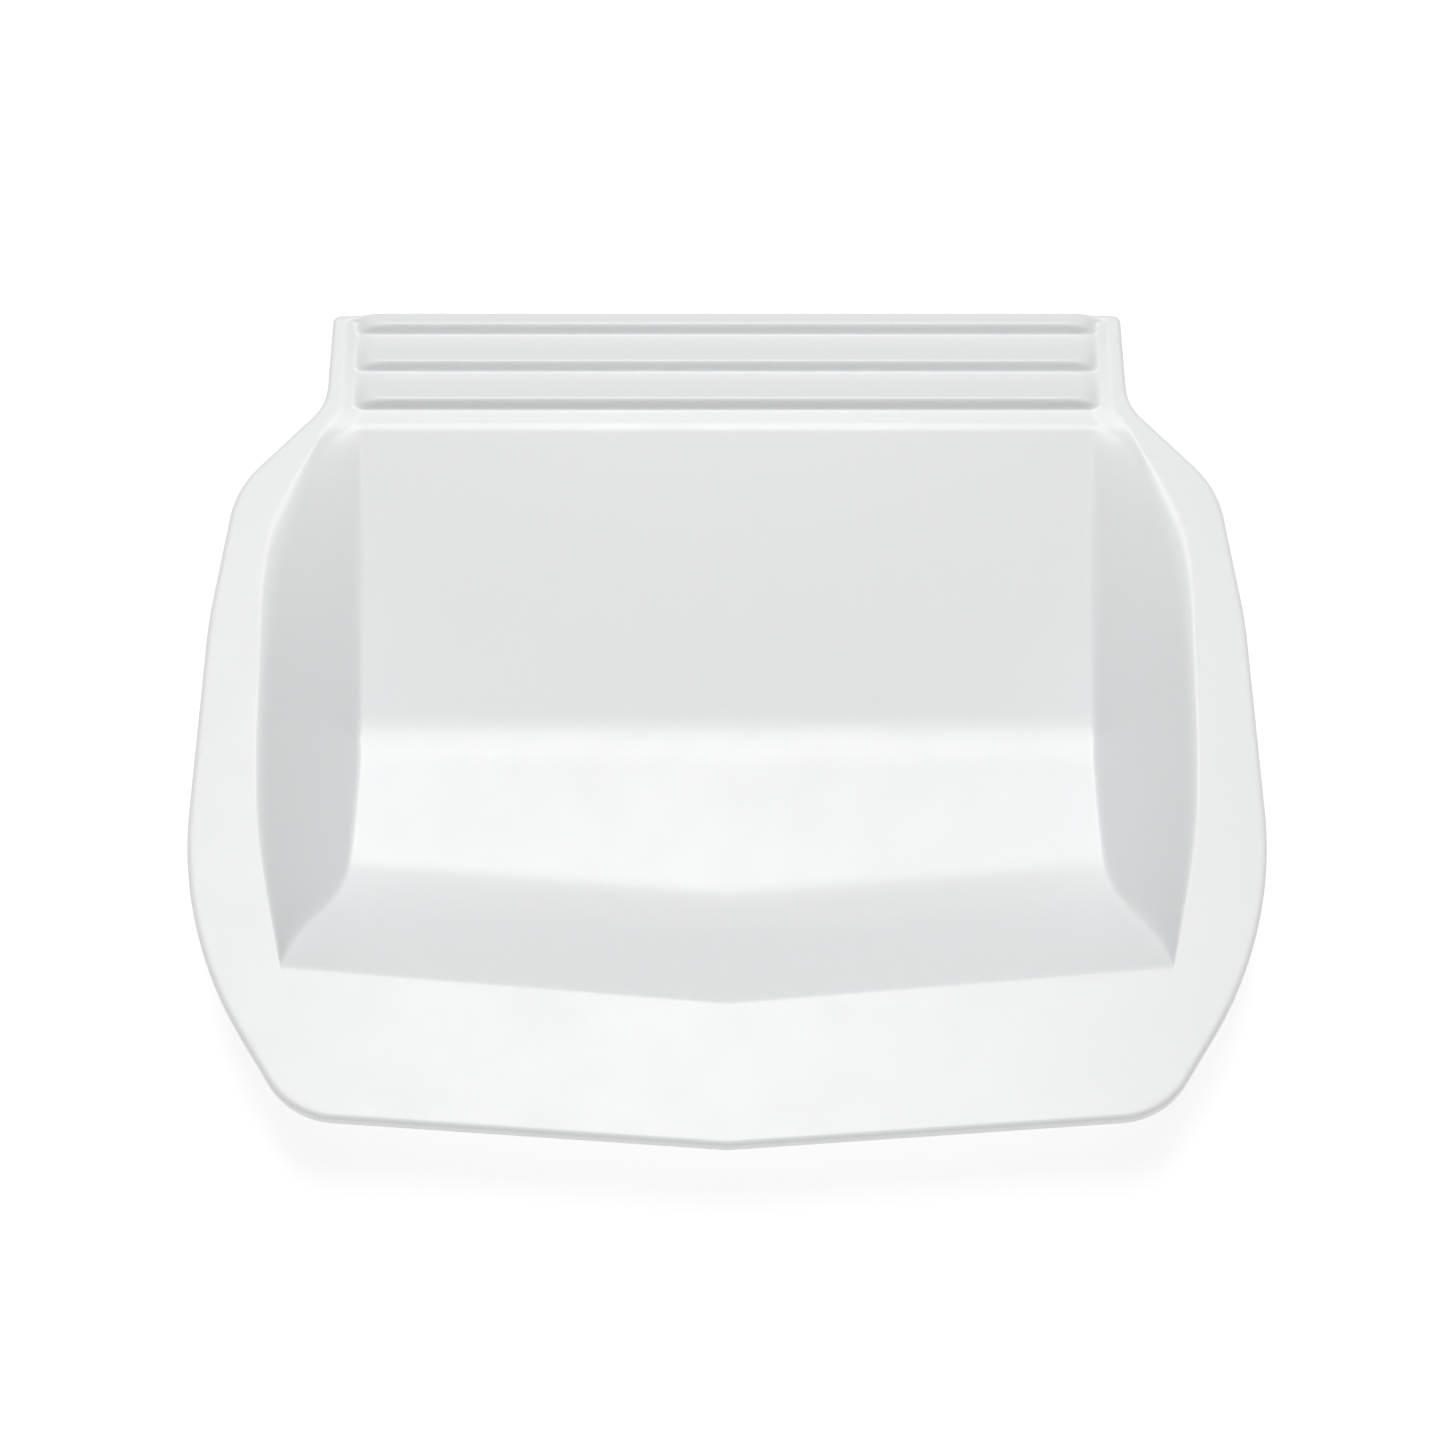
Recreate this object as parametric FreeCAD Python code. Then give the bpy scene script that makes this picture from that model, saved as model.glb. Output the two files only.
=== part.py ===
"""A shallow moulded developing tray: bowl with a rear ramp, broad rim, ridged neck.

The tray is one plastic moulding. It is built whole, then parted along plain upright
planes into zones that meet face to face, so that each zone is a simple solid and the
bowl between them stays open. Millimetres, +Z up, front of the tray towards -Y. The
origin is the centre of the overall box, on the surface that the tray stands on.
"""
import FreeCAD, Part
import math
import os

from FreeCAD import Placement, Rotation, Vector

# Overall sizes
overall_width = 300.0
overall_depth = 265.5
rim_height = 41.5            # top of the rim above the table
wall = 2.5                   # thickness of the moulding

# Rim and its turned-down edge
lip_height = 4.5             # top of the rim to the bottom of the lip
lip_thickness = 2.6
edge_round = 1.2             # upper outer edge of the rim

# Plan outline: how far each corner lies inside the overall box, and its radius
neck_inset = 32.0
neck_taper = 0.7             # the neck is this much narrower, each side, at the back
neck_length = 31.4
neck_corner_radius = 2.5
neck_root_radius = 17.0
shoulder_inset = 7.0
shoulder_drop = 60.2         # back edge to the shoulder corner
shoulder_radius = 32.0
side_inset = 1.7
side_drop = 104.5            # back edge to the side's first corner
side_radius = 147.0
cheek_overhang = 1.1         # this corner is outside the width, its arc touches it
cheek_rise = 63.5            # front apex to the cheek corner
cheek_radius = 122.0
front_corner_inset = 32.3
front_vee = 8.6              # the front edge's corners lie this far behind its apex
front_corner_radius = 23.0
apex_radius = 10.0

# Recess: depths below the rim, and plan lines
ledge_depth = 1.2            # the neck panel and the ledge lie this far below the rim
ledge_width = 6.1
back_border = 1.6
neck_border = 4.8            # rim beside the neck panel
panel_side_run = 3.2         # plan width of the panel's sloping sides
side_rim_width = 18.0        # rim beside the recess where the recess is widest
corner_rim_width = 28.0      # and beside its front corners
front_rim_width = 42.2       # and in front of its vee's point
side_wall_run = 24.5         # plan width of a side wall where the recess is widest
floor_flare = 2.5            # the floor's front corners lie this much wider, each side
floor_length = 58.2
shoulder_share = 0.26        # how far down the ramp the shoulder ends
widest_share = 0.55          # and how far down it the recess becomes widest
front_wall_run = 42.0
front_wall_vee = 10.7        # the rim's inner corners lie this far behind the vee's point
cheek_mouth_inset = 2.7      # the mouth is narrower by this much at the floor's front
shoulder_mouth_inset = 6.6   # by this much at the front end of the shoulder
ledge_mouth_inset = 15.0     # and by this much at the ledge

# Grip ridges on the neck
ridge_names = ["ridge_front", "ridge_middle", "ridge_rear"]
ridge_pitch = 13.1
ridge_height = 3.6
riser_angle = 67.0
rear_ridge_back = 0.8        # the rear ridge stands this far above the rim at its back
ridge_end_radius = 4.0
rear_foot_margin = 5.1       # rear ridge's foot to the back of the panel

# Lines worked out from the sizes above
half_width = overall_width / 2
neck_half = half_width - neck_inset
panel_mouth_half = neck_half - neck_border
panel_half = panel_mouth_half - panel_side_run
mouth_half = half_width - side_rim_width
inner_corner_half = half_width - corner_rim_width
flat_half = mouth_half - side_wall_run
back = overall_depth / 2
front = -back
floor_depth = rim_height - wall
neck_root = back - neck_length
panel_back = back - back_border
ridge_foot = panel_back - rear_foot_margin - (len(ridge_names) - 1) * ridge_pitch
ledge_front = ridge_foot - ledge_width
vee_point = front + front_rim_width
floor_front = vee_point + front_wall_run
ramp_foot = floor_front + floor_length
ramp_length = ledge_front - ramp_foot
inner_corner = vee_point + front_wall_vee
overshoot = 20.0             # how far cutting solids run past what they cut
block_size = 4 * max(overall_width, overall_depth)    # a cutting block wider than the tray
near = 0.01                  # edges this close to a height lie on it


def rounded_wire(corners, z):
    """A closed wire through (x, y, radius) corners, straight runs joined by arcs."""
    starts, arcs = [], []
    for i, (x, y, radius) in enumerate(corners):
        here = Vector(x, y, z)
        before = Vector(*corners[i - 1][:2], z) - here
        after = Vector(*corners[(i + 1) % len(corners)][:2], z) - here
        half_turn = before.getAngle(after) / 2
        reach = radius / math.tan(half_turn)
        before.normalize()
        after.normalize()
        inward = before + after
        inward.normalize()
        middle = here + inward * (radius / math.sin(half_turn) - radius)
        starts.append(here + before * reach)
        arcs.append(Part.Arc(here + before * reach, middle, here + after * reach))
    edges = []
    for i, arc in enumerate(arcs):
        edges.append(arc.toShape())
        edges.append(Part.LineSegment(arc.EndPoint, starts[(i + 1) % len(starts)]).toShape())
    return Part.Wire(edges)


def outline(z):
    """The tray's outer edge in plan."""
    half = [
        (neck_half - neck_taper, back, neck_corner_radius),
        (neck_half, neck_root, neck_root_radius),
        (half_width - shoulder_inset, back - shoulder_drop, shoulder_radius),
        (half_width - side_inset, back - side_drop, side_radius),
        (half_width + cheek_overhang, front + cheek_rise, cheek_radius),
        (half_width - front_corner_inset, front + front_vee, front_corner_radius),
    ]
    apex = [(0.0, front, apex_radius)]
    return rounded_wire(half + apex + [(-x, y, r) for x, y, r in reversed(half)], z)


def recess_stations():
    """(y, depth below the rim, half width of the bottom, half width of the mouth)."""
    def ramp_depth(y):
        return ledge_depth + (ledge_front - y) * (floor_depth - ledge_depth) / ramp_length

    upper_ramp = ledge_front - ramp_length * shoulder_share
    mid_ramp = ledge_front - ramp_length * widest_share
    corner_bottom = flat_half + 2 * floor_flare
    return [
        (panel_back, ledge_depth, panel_half, panel_mouth_half),
        (ridge_foot, ledge_depth, panel_half, panel_mouth_half),
        (ledge_front, ledge_depth, flat_half, mouth_half - ledge_mouth_inset),
        (upper_ramp, ramp_depth(upper_ramp), flat_half, mouth_half - shoulder_mouth_inset),
        (mid_ramp, ramp_depth(mid_ramp), flat_half, mouth_half),
        (ramp_foot, floor_depth, flat_half, mouth_half),
        (floor_front, floor_depth, flat_half + floor_flare, mouth_half - cheek_mouth_inset),
        (inner_corner, floor_depth, corner_bottom, inner_corner_half),
        (vee_point - overshoot, floor_depth, corner_bottom, inner_corner_half),
    ]


def grown(y, depth, bottom_half, mouth_at):
    """The same cross-section a wall's thickness further out."""
    slope = math.atan2(depth, mouth_at - bottom_half)
    return (y, depth + wall, bottom_half + wall * math.tan(slope / 2),
            mouth_at + wall / math.sin(slope))


def polygon(points):
    """A flat face through points."""
    return Part.Face(Part.makePolygon(points + points[:1]))


def side_faces(side, stations):
    """The sloping wall and the upright skirt above it, right (+1) or left (-1).

    The wall twists between stations, so each stretch is two flat facets.
    """
    faces = []
    for one, two in zip(stations, stations[1:]):
        feet = [Vector(side * half, y, rim_height - depth) for y, depth, half, _ in (one, two)]
        mouth = [Vector(side * half, y, rim_height) for y, _, _, half in (one, two)]
        top = [point + Vector(0, 0, overshoot) for point in mouth]
        faces.append(polygon([feet[0], feet[1], mouth[1]]))
        faces.append(polygon([feet[0], mouth[1], mouth[0]]))
        faces.append(polygon([mouth[0], mouth[1], top[1], top[0]]))
    return faces


def end_face(y, depth, bottom_half, mouth_at):
    """The upright face that closes the recess at one station."""
    top = rim_height + overshoot
    half = [(mouth_at, top), (mouth_at, rim_height), (bottom_half, rim_height - depth)]
    outline_points = half + [(-x, z) for x, z in reversed(half)]
    return polygon([Vector(x, y, z) for x, z in outline_points])


def bottom_face(one, two):
    """The bottom between two stations."""
    half = [Vector(station[2], station[0], rim_height - station[1]) for station in (one, two)]
    return polygon(half + [Vector(-p.x, p.y, p.z) for p in reversed(half)])


def trough(stations):
    """A closed solid that fills the recess and runs on above the rim."""
    faces = [bottom_face(*pair) for pair in zip(stations, stations[1:])]
    faces += side_faces(1, stations) + side_faces(-1, stations)
    faces += [end_face(*stations[0]), end_face(*stations[-1])]
    top = [Vector(half, y, rim_height + overshoot) for y, _, _, half in stations]
    faces.append(polygon(top + [Vector(-p.x, p.y, p.z) for p in reversed(top)]))
    solid = Part.Solid(Part.Shell(faces))
    if solid.Volume < 0:
        solid.reverse()
    return solid


def beyond_front_wall(side, thickness):
    """Everything past the right (+1) or left (-1) face of the front wall."""
    turn = math.atan2(front_wall_vee, inner_corner_half)
    slope = math.atan2(floor_depth, front_wall_run * math.cos(turn))
    normal = Vector(side * math.sin(turn) * math.sin(slope),
                    -math.cos(turn) * math.sin(slope), -math.cos(slope))
    corner = Vector(-block_size / 2, -block_size / 2, 0)
    block = Part.makeBox(block_size, block_size, block_size, corner)
    point = Vector(0, vee_point, rim_height) + normal * thickness
    block.Placement = Placement(point, Rotation(Vector(0, 0, 1), normal))
    return block


def bowl(stations, thickness):
    """The recess as a solid, cut off by the two faces of the front wall."""
    return trough(stations).cut([beyond_front_wall(side, thickness) for side in (1, -1)])


def below_rim(solid):
    """The part of a solid that is no higher than the rim."""
    corner = Vector(-block_size / 2, -block_size / 2, rim_height)
    return solid.cut(Part.makeBox(block_size, block_size, block_size, corner))


def rim_plate():
    """The flat rim with its turned-down lip, before the recess is cut from it."""
    lip_bottom = rim_height - lip_height
    block = Part.Face(outline(lip_bottom)).extrude(Vector(0, 0, lip_height))
    upper = [edge for edge in block.Edges if edge.BoundBox.ZMin > rim_height - near]
    block = block.makeFillet(edge_round, upper)
    inside = Part.Face(outline(lip_bottom)).makeOffset2D(-lip_thickness)
    return block.cut(inside.extrude(Vector(0, 0, lip_height - wall)))


def tray():
    """The whole moulding without its ridges."""
    stations = recess_stations()
    outer = [grown(*station) for station in stations]
    outer[0] = (back - lip_thickness / 2, *outer[0][1:])
    body = rim_plate().fuse(below_rim(bowl(outer, wall)))
    return body.cut(bowl(stations, 0)).removeSplitter()


def ridge(index):
    """A saw-tooth ridge: a slow rise towards the front, a crest and a steep riser."""
    panel = rim_height - ledge_depth
    foot = ridge_foot + index * ridge_pitch
    crest = foot + ridge_height / math.tan(math.radians(riser_angle))
    profile = [(foot, panel), (crest, panel + ridge_height)]
    if index == len(ridge_names) - 1:
        profile += [(panel_back, rim_height + rear_ridge_back), (panel_back, panel)]
    else:
        profile += [(foot + ridge_pitch, panel)]
    section = polygon([Vector(-panel_half, y, z) for y, z in profile])
    solid = section.extrude(Vector(2 * panel_half, 0, 0))
    riser_ends = [edge for edge in solid.Edges if edge.BoundBox.XLength < near
                  and edge.BoundBox.YMax < crest + near]
    return solid.makeFillet(ridge_end_radius, riser_ends)


def zone(points):
    """An upright prism over the whole height, used to part the moulding."""
    corners = [Vector(x, y, -overshoot) for x, y in points]
    return polygon(corners).extrude(Vector(0, 0, rim_height + 2 * overshoot))


def plan_zones():
    """Plan of each zone on the centre line, and of each zone on the right-hand side."""
    mouth = [(station[3], station[0]) for station in recess_stations()]
    panel_side, ledge_back, ledge_end, shoulder_end = mouth[0], mouth[1], mouth[2], mouth[3]
    side_line = mouth[4:7]
    mouth_corner = mouth[7]
    outside = overall_width
    vee = (0.0, vee_point)
    wall_foot = (0.0, floor_front)
    corner_half = flat_half + floor_flare
    floor_corner = (corner_half, floor_front + corner_half * front_wall_vee / inner_corner_half)
    floor_back = (flat_half, ramp_foot)
    ramp_top = (flat_half, ledge_front)
    rim_joint = (2 * half_width - inner_corner_half, 2 * front - inner_corner)

    centre = {
        "floor_pan": [floor_back, floor_corner, wall_foot],
        "rear_ramp": [ramp_top, floor_back],
        "back_ledge": [ledge_back, ledge_end],
        "grip_panel": [(panel_side[0], back + overshoot), ledge_back],
    }
    right = {
        "front_wall": [wall_foot, floor_corner, mouth_corner, vee],
        "side_wall": [ramp_top, ledge_end, shoulder_end, *side_line, mouth_corner,
                      floor_corner, floor_back],
        "front_rim": [vee, mouth_corner, rim_joint, (0.0, rim_joint[1])],
        "side_rim": [shoulder_end, (outside, shoulder_end[1]), (outside, rim_joint[1]),
                     rim_joint, mouth_corner, *reversed(side_line)],
        "shoulder": [ledge_back, (outside, ledge_back[1]), (outside, shoulder_end[1]),
                     shoulder_end, ledge_end],
        "neck_border": [(panel_side[0], back + overshoot), (outside, back + overshoot),
                        (outside, ledge_back[1]), ledge_back],
    }
    return centre, right


def zones():
    """Every zone of the moulding, cut from the whole tray. The left mirrors the right."""
    whole = tray()
    centre, right = plan_zones()
    pieces = {}
    for name, half in centre.items():
        left = [(-x, y) for x, y in reversed(half) if x != 0]
        pieces[name] = whole.common(zone(half + left))
    for name, points in right.items():
        piece = whole.common(zone(points))
        pieces[f"{name}_right"] = piece
        pieces[f"{name}_left"] = piece.mirror(Vector(0, 0, 0), Vector(1, 0, 0))
    return pieces


def build():
    """Write one STEP file for each zone and ridge."""
    os.makedirs("parts", exist_ok=True)
    pieces = zones()
    pieces.update({name: ridge(index) for index, name in enumerate(ridge_names)})
    for name, shape in pieces.items():
        solids = shape.Solids
        print(f"{name:18} solids {len(solids)} valid {shape.isValid()} {shape.Volume:9.1f} mm3")
        solids[0].exportStep(f"parts/{name}.step")
    whole = Part.makeCompound(list(pieces.values())).optimalBoundingBox()
    print("box", whole)


build()
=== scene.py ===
# %% [markdown]
# # A moulded developing tray
#
# The tray is a single piece of white plastic from one mould: a bowl with a long ramp at
# the back, a broad flat rim with a turned-down edge, and a narrower neck with three
# ridges to hold it by. The CAD model has it as plain zones that meet face to face. Here
# it becomes one seamless skin with the soft corners that a mould leaves, and a plastic
# that takes the light as the real one does.

# %% Load the frame
import bmesh
import bpy
import math
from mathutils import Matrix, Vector


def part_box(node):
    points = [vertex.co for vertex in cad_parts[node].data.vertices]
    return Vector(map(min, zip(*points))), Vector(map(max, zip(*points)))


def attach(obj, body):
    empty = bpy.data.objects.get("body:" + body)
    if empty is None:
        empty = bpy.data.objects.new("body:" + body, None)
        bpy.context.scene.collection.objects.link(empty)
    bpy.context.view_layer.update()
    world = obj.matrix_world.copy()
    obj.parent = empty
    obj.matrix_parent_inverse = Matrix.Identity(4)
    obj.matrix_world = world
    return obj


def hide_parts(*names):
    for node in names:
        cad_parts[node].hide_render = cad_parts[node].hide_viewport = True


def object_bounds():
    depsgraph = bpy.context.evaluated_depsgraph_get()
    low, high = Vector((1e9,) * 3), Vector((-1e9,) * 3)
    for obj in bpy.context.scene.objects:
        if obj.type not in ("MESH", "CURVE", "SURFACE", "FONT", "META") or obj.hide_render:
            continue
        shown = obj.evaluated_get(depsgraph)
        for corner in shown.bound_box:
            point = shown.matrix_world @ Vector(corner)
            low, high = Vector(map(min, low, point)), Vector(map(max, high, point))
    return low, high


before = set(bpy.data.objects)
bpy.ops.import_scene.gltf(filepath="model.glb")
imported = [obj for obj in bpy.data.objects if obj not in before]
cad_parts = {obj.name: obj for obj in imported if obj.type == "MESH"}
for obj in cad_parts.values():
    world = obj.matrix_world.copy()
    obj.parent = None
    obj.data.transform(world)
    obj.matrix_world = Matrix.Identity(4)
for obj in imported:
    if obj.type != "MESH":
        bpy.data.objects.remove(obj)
cad_low, cad_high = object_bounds()
MM = 0.001
print("CAD box in mm", [round(v / MM, 1) for v in (*cad_low, *cad_high)])

# %% [markdown]
# ## Where everything lies
#
# The main lines come from the CAD nodes' own boxes: the top of the rim, the flat floor,
# the foot and head of the ramp, the point of the front wall's fold. They could be typed
# in again, but a line that is read can't drift away from the frame. Lengths are in
# millimetres until a mesh is finished.

# %% Read the main lines from the frame
def corners_of(node):
    """Lowest and highest corner of a CAD node, in millimetres."""
    low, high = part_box(node)
    return [v / MM for v in low], [v / MM for v in high]


side_bow = 0.11               # how far the bowed sides pass the straight width
half_width = cad_high[0] / MM - side_bow
back = cad_high[1] / MM
front = cad_low[1] / MM
rim_top = corners_of("front_rim_right")[1][2]
lip_height = rim_top - corners_of("front_rim_right")[0][2]
ledge_back = corners_of("back_ledge")[1][1]
ledge_front = corners_of("back_ledge")[0][1]
ramp_foot = corners_of("rear_ramp")[0][1]
flat_half = corners_of("rear_ramp")[1][0]
floor_front = corners_of("floor_pan")[0][1]
floor_half = corners_of("floor_pan")[1][0]
vee_point = corners_of("front_wall_right")[0][1]
corner_half = corners_of("front_wall_right")[1][0]
corner_y = corners_of("side_wall_right")[0][1]
mouth_half = corners_of("side_wall_right")[1][0]
panel_mouth = corners_of("grip_panel")[1][0]
panel_half = corners_of("ridge_front")[1][0]
panel_top = corners_of("ridge_front")[0][2]
ridge_height = corners_of("ridge_front")[1][2] - panel_top
ridge_feet = [corners_of(f"ridge_{which}")[0][1] for which in ("front", "middle", "rear")]
ridge_pitch = ridge_feet[1] - ridge_feet[0]
ledge_depth = rim_top - panel_top
wall = 2.5                    # thickness of the moulding
floor_top = wall
print(f"rim {rim_top:.1f}, floor {floor_top:.1f}, ledge {ledge_depth:.1f} under the rim")

# %% [markdown]
# ## The outer edge
#
# Seen from above, the rim is a neck, two shoulders, long bowed sides and a front edge with
# a slight point. Each corner is a place and a radius. A free curve could be traced round
# it, but straight runs joined by tangent arcs are what a toolmaker cuts, and they stay
# smooth under a highlight.

# %% Corners of the rim, from the back to the front apex
edge_corners = [
    (0.0, back, 0.0),
    (117.3, back, 2.5),
    (118.0, back - 31.4, 17.0),
    (half_width - 7.0, back - 60.2, 32.0),
    (half_width - 1.7, back - 104.5, 147.0),
    (half_width + 1.1, front + 63.5, 122.0),
    (half_width - 32.3, front + 8.6, 23.0),
    (0.0, front, 0.0),
]


def rounded(corners, steps=14):
    """Points along straight runs and tangent arcs through (x, y, radius) corners."""
    points = [Vector(corners[0][:2])]
    for before, here, after in zip(corners, corners[1:], corners[2:]):
        tip, radius = Vector(here[:2]), here[2]
        one = (Vector(before[:2]) - tip).normalized()
        two = (Vector(after[:2]) - tip).normalized()
        half = one.angle(two) / 2
        middle = tip + (one + two).normalized() * radius / math.sin(half)
        start = tip + one * radius / math.tan(half) - middle
        end = tip + two * radius / math.tan(half) - middle
        first = math.atan2(start.y, start.x)
        turn = (math.atan2(end.y, end.x) - first + math.pi) % math.tau - math.pi
        for step in range(steps + 1):
            angle = first + turn * step / steps
            points.append(middle + radius * Vector((math.cos(angle), math.sin(angle))))
    points.append(Vector(corners[-1][:2]))
    return points


def inset(points, distance):
    """The same path moved inwards, to the right of its direction of travel."""
    moved = []
    for i, point in enumerate(points):
        along = points[min(i + 1, len(points) - 1)] - points[max(i - 1, 0)]
        along.normalize()
        moved.append(point + Vector((along.y, -along.x)) * distance)
    moved[0].x = 0.0
    moved[-1].x = 0.0
    return moved


outer_path = rounded(edge_corners)
print(len(outer_path), "points round half of the rim, widest",
      round(max(point.x for point in outer_path), 2))

# %% [markdown]
# ## The lines across the tray
#
# Going from the back to the front, three lines matter on each side: the foot of the side
# wall, the mouth of the recess where it meets the rim, and a narrow strip beside the mouth
# where the sunken grip runs out into the shoulder. They could be straight runs, but a
# moulded wall bows gently. A few stations with a smooth curve through them give each line,
# and the mesh will follow them, so that no highlight crosses a staircase of faces.

# %% Smooth lines through stations
def smooth_line(stations):
    """A function through (y, value) stations, with no overshoot at a flat stretch."""
    ys = [y for y, _ in stations]
    values = [value for _, value in stations]
    slopes = [(b - a) / (q - p) for a, b, p, q in zip(values, values[1:], ys, ys[1:])]
    tangents = [slopes[0]]
    for one, two in zip(slopes, slopes[1:]):
        tangents.append(0.0 if one * two <= 0 else 2 * one * two / (one + two))
    tangents.append(slopes[-1])

    def value_at(y):
        y = min(max(y, ys[-1]), ys[0])
        i = next(i for i in range(len(ys) - 1) if y >= ys[i + 1])
        span = ys[i + 1] - ys[i]
        t = (y - ys[i]) / span
        return (values[i] * (1 + 2 * t) * (1 - t) ** 2 + tangents[i] * span * t * (1 - t) ** 2
                + values[i + 1] * t * t * (3 - 2 * t) + tangents[i + 1] * span * t * t * (t - 1))
    return value_at


shoulder_start = ledge_front + 7.0
shoulder_middle, shoulder_low, shoulder_end = 72.0, 58.0, 50.0
mouth_line = smooth_line([
    (back, panel_mouth), (shoulder_start, panel_mouth + 0.2), (ledge_front - 4.0, 119.2),
    (shoulder_middle, 125.5), (shoulder_end, mouth_half - 1.0), (34.0, mouth_half),
    (0.0, mouth_half - 0.3), (-29.0, 130.5), (corner_y, corner_half), (front, 110.0),
])
foot_line = smooth_line([
    (back, flat_half), (ramp_foot, flat_half), (floor_front, floor_half), (front, 118.0),
])
strip_width = smooth_line([
    (back, panel_mouth - panel_half), (ledge_front + 0.5, mouth_line(ledge_front) - panel_half),
    (ledge_front - 3.4, 3.8), (shoulder_middle, 0.9), (shoulder_low, 0.3), (shoulder_end, 0.2),
])
strip_drop = smooth_line([
    (back, ledge_depth), (ledge_front - 5.0, ledge_depth), (shoulder_middle, 0.5),
    (shoulder_low, 0.05), (shoulder_end, 0.0),
])
print("mouth at the floor's front", round(mouth_line(floor_front), 1))

# %% [markdown]
# ## The height of the skin
#
# The tray's form is plain: a floor, a ramp, two faces of a front wall and two side walls,
# with rounded valleys between them and a rounded brow where they meet the rim. A box
# could be cut and beveled, but these valleys run into each other, and a bevel tears there.
# A soft maximum of the faces gives one even surface: where two faces come within a set
# height of each other they melt together, and elsewhere each stays exactly as it is.
# The same faces, each sunk by the wall's thickness, give the underside.

# %% Faces that melt together
def soft_max(a, b, blend):
    """The higher of two heights, rounded where they are within blend of each other."""
    return max(a, b) + max(blend - abs(a - b), 0.0) ** 2 / (4 * blend)


def soft_min(a, b, blend):
    """The lower of two heights, rounded in the same way."""
    return -soft_max(-a, -b, blend)


front_slope = (rim_top - floor_top) / (floor_front - vee_point)
vee_lean = (corner_y - vee_point) / corner_half
ramp_slope = (panel_top - floor_top) / (ledge_front - ramp_foot)
ramp_valley, front_valley, side_valley = 3.1, 10.0, 1.8
side_brow, front_brow, neck_brow, ledge_brow = 2.6, 1.2, 0.25, 0.5
sharp = 0.01                  # a blend so small that the faces still meet in an edge
fold_width = 1.6              # the fold in the front wall is rounded over this width
strip_slope_middle = 0.6      # slope of the strip at the middle of the shoulder
strip_round = 0.4             # rounding where the side wall turns into the strip


def bottom_at(y, sunk, valley=ramp_valley):
    """Floor, ramp and ledge along the middle of the tray."""
    ramp = floor_top + (y - ramp_foot) * ramp_slope - sunk * math.hypot(1.0, ramp_slope)
    return soft_min(soft_max(floor_top - sunk, ramp, valley), panel_top - sunk, ledge_brow)


def front_wall_at(x, y, sunk):
    """The folded front wall, which climbs towards the front."""
    fold = math.hypot(x, fold_width) - fold_width
    climb = (y - vee_point - vee_lean * fold) * front_slope
    return rim_top - climb - sunk * math.hypot(1.0, front_slope)


def side_wall_at(x, y, sunk):
    """The twisted side wall, with the strip beside the mouth as its last, gentler run."""
    foot, mouth = foot_line(y), mouth_line(y)
    edge = mouth - strip_width(y)
    bottom, step = bottom_at(y, 0.0, sharp), rim_top - strip_drop(y)
    wall_slope = (step - bottom) / (edge - foot)
    strip_slope = wall_slope
    if y >= shoulder_middle:
        strip_slope = (rim_top - step) / (mouth - edge)
    elif y > shoulder_end:
        share = (y - shoulder_end) / (shoulder_middle - shoulder_end)
        strip_slope = wall_slope + (strip_slope_middle - wall_slope) * share ** 2
    past = x - edge
    bend = math.hypot(past, strip_round)
    height = step + (wall_slope + strip_slope) / 2 * past + (strip_slope - wall_slope) / 2 * bend
    return height - sunk * math.hypot(1.0, wall_slope)


# %% [markdown]
# ## Grip ridges
#
# Each ridge is a saw tooth: a tread that climbs gently to a crest, then a steep riser down
# to the panel. Its ends run down more gently, and the riser turns into them round a soft
# corner. Three separate bars could be joined on, but a moulded ridge grows out of the
# panel, so its faces melt together and into the panel in the same way as the walls do.

# %% Saw-tooth ridges
riser_slope = math.tan(math.radians(67.0))
riser_run = ridge_height / riser_slope
end_slope = 0.75              # the ends run down more gently than the riser
end_round, crest_round, root_round = 3.2, 2.3, 1.1
rear_rise = 2.0               # how far the rear tread stands over the panel at the back
back_border = 1.6             # the panel ends this far before the back edge
ridges_from = ledge_back - 2.0   # in front of this the skin has no ridges
brow_change = 8.0             # the brow goes from front to side over this difference in height
calm_from, calm_run = 60.0, 25.0   # towards the neck all blends grow sharp over this run


def ridge_at(x, y, foot, tail, tail_rise):
    """Height of one ridge above the panel."""
    crest = foot + riser_run
    tread = ridge_height + (tail_rise - ridge_height) * (y - crest) / (tail - crest)
    face = soft_min((y - foot) * riser_slope, (panel_half - x) * end_slope, end_round)
    return soft_min(face, tread, crest_round)


def skin_height(x, y, sunk=0.0):
    """Height of the upper skin, or of the underside where sunk is the wall's thickness."""
    x = abs(x)
    side = side_wall_at(x, y, sunk)
    low = soft_max(bottom_at(y, sunk), front_wall_at(x, y, sunk), front_valley)
    share = min(max((side - low) / brow_change + 0.5, 0.0), 1.0)
    brow = front_brow + (side_brow - front_brow) * share
    calm = min(max((y - calm_from) / calm_run, 0.0), 1.0)
    brow += (neck_brow - brow) * calm
    valley = side_valley + (neck_brow - side_valley) * calm
    height = soft_min(soft_max(low, side, valley), rim_top - sunk, brow)
    if sunk or y < ridges_from:
        return height
    height = soft_max(height, rim_top - max(back - back_border - y, 0.0), root_round)
    height = min(height, rim_top)
    for foot in ridge_feet:
        rear = foot == ridge_feet[-1]
        tail, rise = (back, rear_rise) if rear else (foot + ridge_pitch, 0.0)
        ridge = panel_top + ridge_at(x, y, foot, tail, rise)
        height = soft_max(height, ridge, root_round)
    return height


print("crest height", round(skin_height(0.0, ridge_feet[0] + riser_run), 2))

# %% [markdown]
# ## Where the mesh is fine
#
# A grid gets its rows and columns packed where the skin bends and spread where it is flat.
# A subdivision surface would round things by itself, but it also pulls in what should stay
# flat. Each list of knots is a place and the step wanted there; the steps between grow by
# an even ratio.

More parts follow.
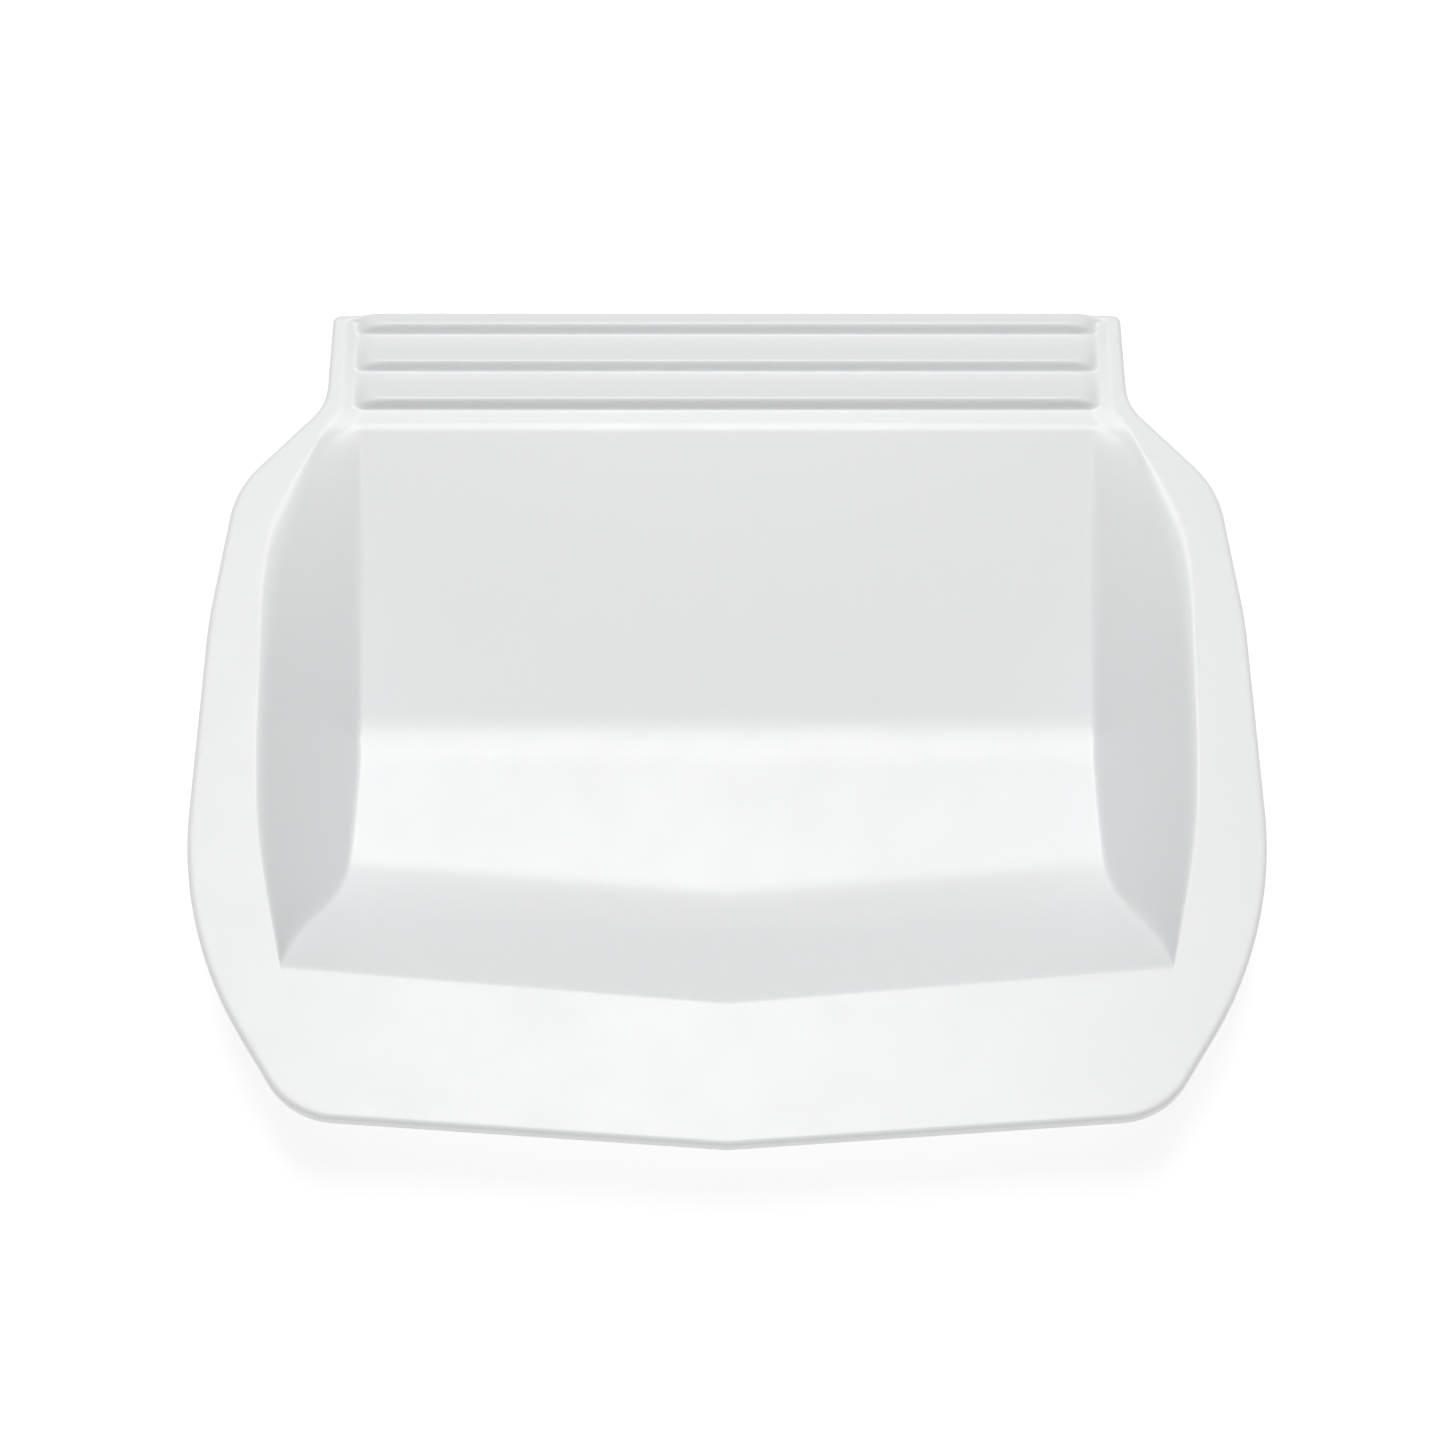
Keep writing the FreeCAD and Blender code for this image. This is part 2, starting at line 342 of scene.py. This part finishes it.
# %% Rows and columns
def graded(knots):
    """Places from the first knot to the last, with steps that grow evenly between them."""
    places = [knots[0][0]]
    for (start, fine), (end, coarse) in zip(knots, knots[1:]):
        length = abs(end - start)
        mean = fine if fine == coarse else (coarse - fine) / math.log(coarse / fine)
        count = max(1, round(length / mean))
        ratio = (coarse / fine) ** (1 / count)
        for k in range(1, count + 1):
            share = k / count if fine == coarse else (ratio ** k - 1) / (ratio ** count - 1)
            places.append(start + (end - start) * share)
    return places


edge_round = 1.3              # radius of the rim's edge
lip_wall = 2.4                # thickness of the turned-down lip
margin_columns = 0.2          # share of a column unit that lies outside the mouth
neck_margin, bowl_margin = 1.0, 2.0   # width of flat rim in that margin
row_knots = [(vee_point - 2.0, 0.5), (vee_point, 0.3), (vee_point + 2.0, 0.6),
             (vee_point + 10.0, 2.6), (floor_front - 12.0, 2.6), (floor_front, 1.2),
             (floor_front + 12.0, 2.4), (ramp_foot - 9.0, 2.6), (ramp_foot, 1.3),
             (ramp_foot + 9.0, 2.6), (ledge_front - 22.0, 2.0), (ledge_front - 2.0, 0.5),
             (ledge_front + 1.5, 0.5), (ledge_back - 1.5, 0.6)]
for foot in ridge_feet:
    row_knots += [(foot - 0.6, 0.3), (foot + riser_run + 1.0, 0.2)]
    if foot < ridge_feet[-1]:
        row_knots += [(foot + 5.0, 0.8), (foot + ridge_pitch - 2.0, 0.7)]
row_knots += [(back - edge_round, 0.35)]
row_lines = graded(row_knots)

column_knots = [(0.0, 0.004), (0.04, 0.012), (0.2, 0.05), (0.86, 0.05), (0.955, 0.008),
                (1.0, 0.004), (1.1, 0.03), (1.45, 0.055), (1.78, 0.055), (1.93, 0.02),
                (2.0, 0.015), (2.0 + margin_columns, 0.04)]
half_columns = graded(column_knots)
column_lines = [-c for c in reversed(half_columns[1:])] + half_columns
print(len(row_lines), "rows,", len(column_lines), "columns")

# %% [markdown]
# ## Laying the grid on the lines
#
# A row runs straight across at the back, and bends into a wide V towards the front, as the
# front wall does. Along a row, column 1 lies on the wall's foot, column 2 on the mouth, and
# the last one just outside it, on the flat rim.

# %% From grid to tray
def row_lean(y):
    """How far a row leans forward for each millimetre away from the middle."""
    share = (ramp_foot - y) / (ramp_foot - floor_front)
    return vee_lean * min(max(share, 0.0), 1.0)


def on_line(line, y, lean, passes=6):
    """Where a leaning row meets one of the lines, closer with each pass."""
    x = line(y)
    for _ in range(passes):
        x = line(y + lean * x)
    return x


def rim_margin(y):
    """Width of flat rim that the grid takes in outside the mouth."""
    return neck_margin if y > ledge_front else bowl_margin


def grid_place(c, y):
    """Place in plan of column c on the row that crosses the middle at y."""
    lean, across = row_lean(y), abs(c)
    foot, mouth = on_line(foot_line, y, lean), on_line(mouth_line, y, lean)
    if across <= 1.0:
        x = across * foot
    elif across <= 2.0:
        x = foot + (across - 1.0) * (mouth - foot)
    else:
        x = mouth + (across - 2.0) / margin_columns * rim_margin(y)
    return Vector((math.copysign(x, c), y + lean * x))


# %% [markdown]
# ## From the mouth to the edge
#
# Outside the mouth the rim is flat, so rings are extruded from the grid's sides and front
# and spread until the last one lies on the edge. Each vertex heads for its own point of
# the edge: level with it along the sides, and shared out evenly round the front corners.

# %% Points of the edge
tiny = 1e-9                   # keeps a division by a length from failing at zero
touching = 1e-6               # places closer than this count as the same


def path_lengths(path):
    """Distance travelled along the path at each of its points."""
    lengths = [0.0]
    for one, two in zip(path, path[1:]):
        lengths.append(lengths[-1] + (two - one).length)
    return lengths


def point_at(path, lengths, distance):
    """The point of the path after a distance along it."""
    distance = min(max(distance, 0.0), lengths[-1])
    i = next(i for i in range(len(lengths) - 1) if distance <= lengths[i + 1] + tiny)
    share = (distance - lengths[i]) / max(lengths[i + 1] - lengths[i], tiny)
    return path[i].lerp(path[i + 1], share)


even_from = floor_front + 10.0   # in front of this the rings share the edge out evenly
corner_turn = 52.0               # degrees from the side at which the front corner is shared


def edge_partner(place, corner, path):
    """The point of the edge path that a vertex beside the mouth heads for."""
    x, y = abs(place.x), place.y
    lengths = path_lengths(path)
    turned = next(i for i, (one, two) in enumerate(zip(path, path[1:]))
                  if one.y < corner.y and math.degrees(math.atan2(one.x - two.x, one.y - two.y))
                  > corner_turn)
    at_corner = lengths[turned]

    def level(y):
        i = next(i for i in range(1, len(path) - 1) if path[i + 1].y <= y)
        share = (path[i].y - y) / max(path[i].y - path[i + 1].y, tiny)
        return lengths[i] + (lengths[i + 1] - lengths[i]) * share

    if y >= even_from:
        distance = level(y)
    elif x >= corner.x - touching or y > corner.y + touching:
        share = (even_from - y) / (even_from - corner.y)
        distance = level(even_from) + (at_corner - level(even_from)) * share
    else:
        distance = at_corner + (lengths[-1] - at_corner) * (1.0 - x / corner.x)
    found = point_at(path, lengths, distance)
    return Vector((math.copysign(found.x, place.x), found.y))


# %% [markdown]
# ## The shell
#
# The upper skin and the underside are laid from the same grid. The skin's edge is then
# drawn outwards and down in small steps, which makes the rounded edge, the turned-down lip
# and the lip's inner face, and a bridge joins that to the underside. A Solidify modifier
# would be shorter, but it would give the underside a copy of every ridge, and would pinch
# where the skin bends tightly.

# %% Lay a sheet and spread its rim
ring_shares = [0.03, 0.08, 0.16, 0.28, 0.42, 0.56, 0.7, 0.82, 0.9, 0.96, 1.0]
grid_back = row_lines[-1]


def open_edges(faces):
    """Edges of these faces that have only one face."""
    return list({edge for face in faces for edge in face.edges if len(edge.link_faces) == 1})


def draw_out(bm, edges, lanes):
    """Extrude an open run of edges. Each new vertex takes over its old vertex's lane."""
    made = bmesh.ops.extrude_edge_only(bm, edges=edges)["geom"]
    fresh = {part for part in made if isinstance(part, bmesh.types.BMVert)}
    for vert in fresh:
        old = next(edge.other_vert(vert) for edge in vert.link_edges
                   if edge.other_vert(vert) not in fresh)
        lanes[vert] = lanes[old]
    new_edges = [part for part in made if isinstance(part, bmesh.types.BMEdge)
                 and part.verts[0] in fresh and part.verts[1] in fresh]
    return fresh, new_edges


def lay_sheet(bm, path, back_line, sunk=0.0):
    """One sheet of the shell, out to the path. Returns its faces."""
    bmesh.ops.create_grid(bm, x_segments=len(column_lines) - 1,
                          y_segments=len(row_lines) - 1, size=1.0)
    bm.faces.ensure_lookup_table()
    faces = [face for face in bm.faces if not face.tag]
    verts = {vert for face in faces for vert in face.verts}
    squeeze = (back_line - ledge_back) / (grid_back - ledge_back)
    spot = {}
    for vert in verts:
        spot[vert] = (round((vert.co.x + 1) / 2 * (len(column_lines) - 1)),
                      round((vert.co.y + 1) / 2 * (len(row_lines) - 1)))
    for vert, (column, row) in spot.items():
        y = row_lines[row]
        if y > ledge_back:
            y = ledge_back + (y - ledge_back) * squeeze
        plan = grid_place(column_lines[column], y)
        vert.co = (plan.x, plan.y, skin_height(plan.x, plan.y, sunk))
    last = len(row_lines) - 1
    edges = [edge for edge in open_edges(faces)
             if not all(spot[vert][1] == last for vert in edge.verts)]
    starts = {vert for edge in edges for vert in edge.verts}
    corner = grid_place(column_lines[-1], row_lines[0])
    lanes = {vert: (vert.co.copy(), edge_partner(vert.co, corner, path)) for vert in starts}
    for share in ring_shares:
        fresh, edges = draw_out(bm, edges, lanes)
        for vert in fresh:
            start, partner = lanes[vert]
            plan = start.xy.lerp(partner, share)
            vert.co = (plan.x, plan.y, skin_height(plan.x, plan.y, sunk))
    bm.faces.ensure_lookup_table()
    faces = [face for face in bm.faces if not face.tag]
    for face in faces:
        face.tag = True
    return faces


shell_bm = bmesh.new()
upper = lay_sheet(shell_bm, inset(outer_path, edge_round), back - edge_round)
under = lay_sheet(shell_bm, inset(outer_path, lip_wall), back - lip_wall, sunk=wall)
bmesh.ops.reverse_faces(shell_bm, faces=under)
print(len(upper), "faces above,", len(under), "below")

# %% Turn the edge down and join the two sheets
lip_bottom = rim_top - lip_height
lip_round, lip_ease = 0.5, 0.15   # rounding of the lip's lower edges, and its middle step
edge_arc = 6
edge_steps = [(edge_round * math.sin(turn), -edge_round * (1 - math.cos(turn)), False)
              for turn in (math.pi / 2 * k / edge_arc for k in range(1, edge_arc + 1))]
lip_steps = [(edge_round, lip_round, True), (edge_round - lip_ease, lip_ease, True),
             (edge_round - lip_round, 0.0, True), (edge_round - lip_wall + lip_round, 0.0, True),
             (edge_round - lip_wall + lip_ease, lip_ease, True), (edge_round - lip_wall, lip_round, True)]


def outward(vert, edges):
    """The direction in plan that points straight out of the rim at an edge vertex."""
    ends = [edge.other_vert(vert).co.xy for edge in vert.link_edges if edge in edges]
    along = (ends[0] - ends[1]).normalized()
    out = Vector((along.y, -along.x))
    inner = sum((face.calc_center_median().xy for face in vert.link_faces), Vector((0, 0)))
    return out if out.dot(vert.co.xy - inner / len(vert.link_faces)) > 0 else -out


rim_edges = set(open_edges(upper))
lanes = {vert: (vert.co.copy(), outward(vert, rim_edges))
         for vert in {vert for edge in rim_edges for vert in edge.verts}}
edges = list(rim_edges)
for out, rise, from_bottom in edge_steps + lip_steps:
    fresh, edges = draw_out(shell_bm, edges, lanes)
    for vert in fresh:
        start, direction = lanes[vert]
        plan = start.xy + direction * out
        vert.co = (plan.x, plan.y, lip_bottom + rise if from_bottom else start.z + rise)
bmesh.ops.bridge_loops(shell_bm, edges=edges + open_edges(under))
bmesh.ops.recalc_face_normals(shell_bm, faces=shell_bm.faces)
print("open edges left:", sum(1 for edge in shell_bm.edges if len(edge.link_faces) != 2))
print("longest edge", round(max(edge.calc_length() for edge in shell_bm.edges), 1), "mm")

# %% From bmesh to a piece
bmesh.ops.scale(shell_bm, vec=(MM, MM, MM), verts=shell_bm.verts)
for face in shell_bm.faces:
    face.smooth = True
shell_mesh = bpy.data.meshes.new("tray_shell")
shell_bm.to_mesh(shell_mesh)
shell_bm.free()
shell = bpy.data.objects.new("tray_shell", shell_mesh)
bpy.context.scene.collection.objects.link(shell)
print("tray shell:", len(shell_mesh.polygons), "faces")

# %% [markdown]
# ## White plastic
#
# Injection-moulded polystyrene or polypropylene is white all through, with a fine grain
# from the mould that breaks up its gloss. The grain could be an image, but two small
# noises on Object coordinates give it at its real size: a fine one for the grain, and a
# broad, faint one for the unevenness of the gloss that real mouldings have.

# %% The plastic's material
def noise(nodes, links, place, scale, detail):
    """A noise texture read in object space, with scale in patches per metre."""
    texture = nodes.new("ShaderNodeTexNoise")
    texture.inputs["Scale"].default_value = scale
    texture.inputs["Detail"].default_value = detail
    links.new(place.outputs["Object"], texture.inputs["Vector"])
    return texture


def blend_range(nodes, links, texture, low, high):
    """The noise stretched to run from low to high."""
    stretch = nodes.new("ShaderNodeMapRange")
    stretch.inputs["From Min"].default_value = 0.3
    stretch.inputs["From Max"].default_value = 0.7
    stretch.inputs["To Min"].default_value = low
    stretch.inputs["To Max"].default_value = high
    links.new(texture.outputs["Fac"], stretch.inputs["Value"])
    return stretch


broad_scale, gloss_scale, grain_scale = 14.0, 60.0, 2600.0   # patches per metre
least_rough, most_rough = 0.31, 0.36
grain_strength, grain_depth = 0.35, 0.00004   # depth in metres


def white_plastic():
    """White moulded plastic with a fine grain."""
    material = bpy.data.materials.new("white_plastic")
    material.use_nodes = True
    nodes, links = material.node_tree.nodes, material.node_tree.links
    shader = nodes["Principled BSDF"]
    shader.inputs["IOR"].default_value = 1.49
    place = nodes.new("ShaderNodeTexCoord")
    broad = noise(nodes, links, place, broad_scale, 2.0)
    tint = nodes.new("ShaderNodeMix")
    tint.data_type = "RGBA"
    tint.inputs["A"].default_value = (0.777, 0.782, 0.788, 1.0)
    tint.inputs["B"].default_value = (0.786, 0.791, 0.797, 1.0)
    links.new(broad.outputs["Fac"], tint.inputs["Factor"])
    links.new(tint.outputs["Result"], shader.inputs["Base Color"])
    gloss = noise(nodes, links, place, gloss_scale, 3.0)
    rough = blend_range(nodes, links, gloss, least_rough, most_rough)
    links.new(rough.outputs["Result"], shader.inputs["Roughness"])
    grain = noise(nodes, links, place, grain_scale, 2.0)
    bump = nodes.new("ShaderNodeBump")
    bump.inputs["Strength"].default_value = grain_strength
    bump.inputs["Distance"].default_value = grain_depth
    links.new(grain.outputs["Fac"], bump.inputs["Height"])
    links.new(bump.outputs["Normal"], shader.inputs["Normal"])
    return material


plastic = white_plastic()
shell_mesh.materials.append(plastic)
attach(shell, "root")
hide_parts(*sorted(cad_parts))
print("shell stands for", len(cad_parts), "CAD nodes")

# %% [markdown]
# ## Floor, light and camera
#
# A pale floor without a horizon, one large soft light overhead, and a dim room: the level
# faces come out brightest, and the walls fall off gently. A narrow strip light in front
# adds little light, but it draws a fine bright line along every edge that is rounded
# towards it, such as the crests of the ridges. A larger front light would wash out the
# risers and the lip.

# %% Floor
floor_size = 6.0              # metres from the middle to each side
floor_gap = 0.0002            # metres between the floor and the tray's underside
floor_bm = bmesh.new()
bmesh.ops.create_grid(floor_bm, x_segments=1, y_segments=1, size=floor_size)
bmesh.ops.translate(floor_bm, vec=(0.0, 0.0, -floor_gap), verts=floor_bm.verts)
floor_mesh = bpy.data.meshes.new("studio_floor")
floor_bm.to_mesh(floor_mesh)
floor_bm.free()
studio_floor = bpy.data.objects.new("studio_floor", floor_mesh)
bpy.context.scene.collection.objects.link(studio_floor)
floor_material = bpy.data.materials.new("studio_floor")
floor_material.use_nodes = True
floor_shader = floor_material.node_tree.nodes["Principled BSDF"]
floor_shader.inputs["Base Color"].default_value = (0.42, 0.42, 0.42, 1.0)
floor_shader.inputs["Roughness"].default_value = 1.0
floor_shader.inputs["Specular IOR Level"].default_value = 0.0
floor_shader.inputs["Emission Color"].default_value = (1.0, 1.0, 1.0, 1.0)
floor_shader.inputs["Emission Strength"].default_value = 0.7
floor_mesh.materials.append(floor_material)

# %% Light
def soft_light(name, place, target, size, power):
    """A rectangular softbox at a place, turned towards a target."""
    lamp = bpy.data.lights.new(name, "AREA")
    lamp.shape = "RECTANGLE"
    lamp.size, lamp.size_y = size
    lamp.energy = power
    holder = bpy.data.objects.new(name, lamp)
    holder.location = place
    holder.rotation_euler = (Vector(target) - Vector(place)).to_track_quat("-Z", "Y").to_euler()
    bpy.context.scene.collection.objects.link(holder)


soft_light("overhead_softbox", (-0.03, 0.34, 1.7), (0.0, 0.0, 0.0), (0.65, 1.3), 21.0)
soft_light("front_strip", (-0.1, -1.35, 1.15), (0.0, 0.0, 0.04), (1.4, 0.06), 2.0)
room = bpy.data.worlds.new("room")
room.use_nodes = True
room.node_tree.nodes["Background"].inputs["Color"].default_value = (1.0, 1.0, 1.0, 1.0)
room.node_tree.nodes["Background"].inputs["Strength"].default_value = 0.31
bpy.context.scene.world = room
bpy.context.scene.view_settings.view_transform = "Standard"

# %% Camera
camera_tilt = math.radians(28.0)   # from looking straight down
camera_data = bpy.data.cameras.new("camera")
camera_data.sensor_width = 36.0
camera_data.lens = 99.65
camera = bpy.data.objects.new("camera", camera_data)
camera.location = (-0.00127, -0.5345, 1.0371)
camera.rotation_euler = (camera_tilt, 0.0, 0.0)
bpy.context.scene.collection.objects.link(camera)
bpy.context.scene.camera = camera
